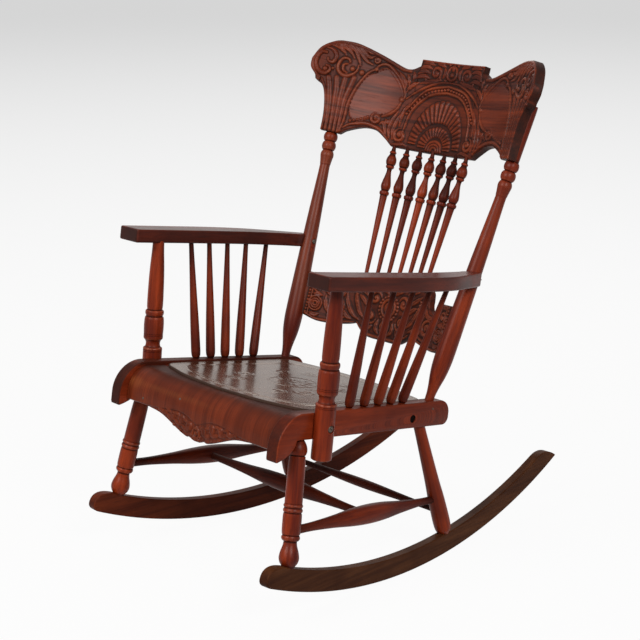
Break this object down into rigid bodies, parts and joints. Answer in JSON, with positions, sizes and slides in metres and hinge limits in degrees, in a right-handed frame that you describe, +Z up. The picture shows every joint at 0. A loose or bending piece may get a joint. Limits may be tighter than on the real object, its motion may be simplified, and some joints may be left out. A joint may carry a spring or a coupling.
{
  "type": "rocking chair",
  "caption": "Wooden rocking chair with a carved bent crest rail and splat, spindle back, turned legs and posts, flat arms and an embossed seat panel with a rolled front.",
  "frame": {"origin": "on the floor, in the middle of the chair's width and of the rockers' length", "axes": "+X to the right as seen from in front, -Y the way the sitter faces, +Z up"},
  "size_m": [0.6642, 0.9154, 1.0129],
  "materials": {
    "varnished_wood": "reddish brown varnish, glossy on the turnings, worn on the rockers",
    "embossed_seat": "dark glossy embossed board",
    "screw_steel": "dulled slotted screw heads"
  },
  "bodies": {
    "root": {"arm_left": "varnished_wood", "arm_post_left": "varnished_wood", "arm_post_right": "varnished_wood", "arm_post_screw_left": "screw_steel", "arm_post_screw_right": "screw_steel", "arm_right": "varnished_wood", "arm_screw_left": "screw_steel", "arm_screw_right": "screw_steel", "arm_spindle_left_1": "varnished_wood", "arm_spindle_left_2": "varnished_wood", "arm_spindle_left_3": "varnished_wood", "arm_spindle_left_4": "varnished_wood", "arm_spindle_left_5": "varnished_wood", "arm_spindle_right_1": "varnished_wood", "arm_spindle_right_2": "varnished_wood", "arm_spindle_right_3": "varnished_wood", "arm_spindle_right_4": "varnished_wood", "arm_spindle_right_5": "varnished_wood", "back_post_left": "varnished_wood", "back_post_right": "varnished_wood", "back_spindle_1": "varnished_wood", "back_spindle_2": "varnished_wood", "back_spindle_3": "varnished_wood", "back_spindle_4": "varnished_wood", "back_spindle_5": "varnished_wood", "back_spindle_6": "varnished_wood", "back_spindle_7": "varnished_wood", "back_splat": "varnished_wood", "crest_rail": "varnished_wood", "cross_stretcher": "varnished_wood", "front_leg_left": "varnished_wood", "front_leg_right": "varnished_wood", "front_roll": "varnished_wood", "front_seat_rail": "varnished_wood", "rear_leg_left": "varnished_wood", "rear_leg_right": "varnished_wood", "rear_seat_rail": "varnished_wood", "rear_stretcher": "varnished_wood", "rocker_left": "varnished_wood", "rocker_right": "varnished_wood", "seat_panel": "embossed_seat", "seat_rail_left": "varnished_wood", "seat_rail_right": "varnished_wood", "side_stretcher_left": "varnished_wood", "side_stretcher_right": "varnished_wood"}
  },
  "joints": []
}
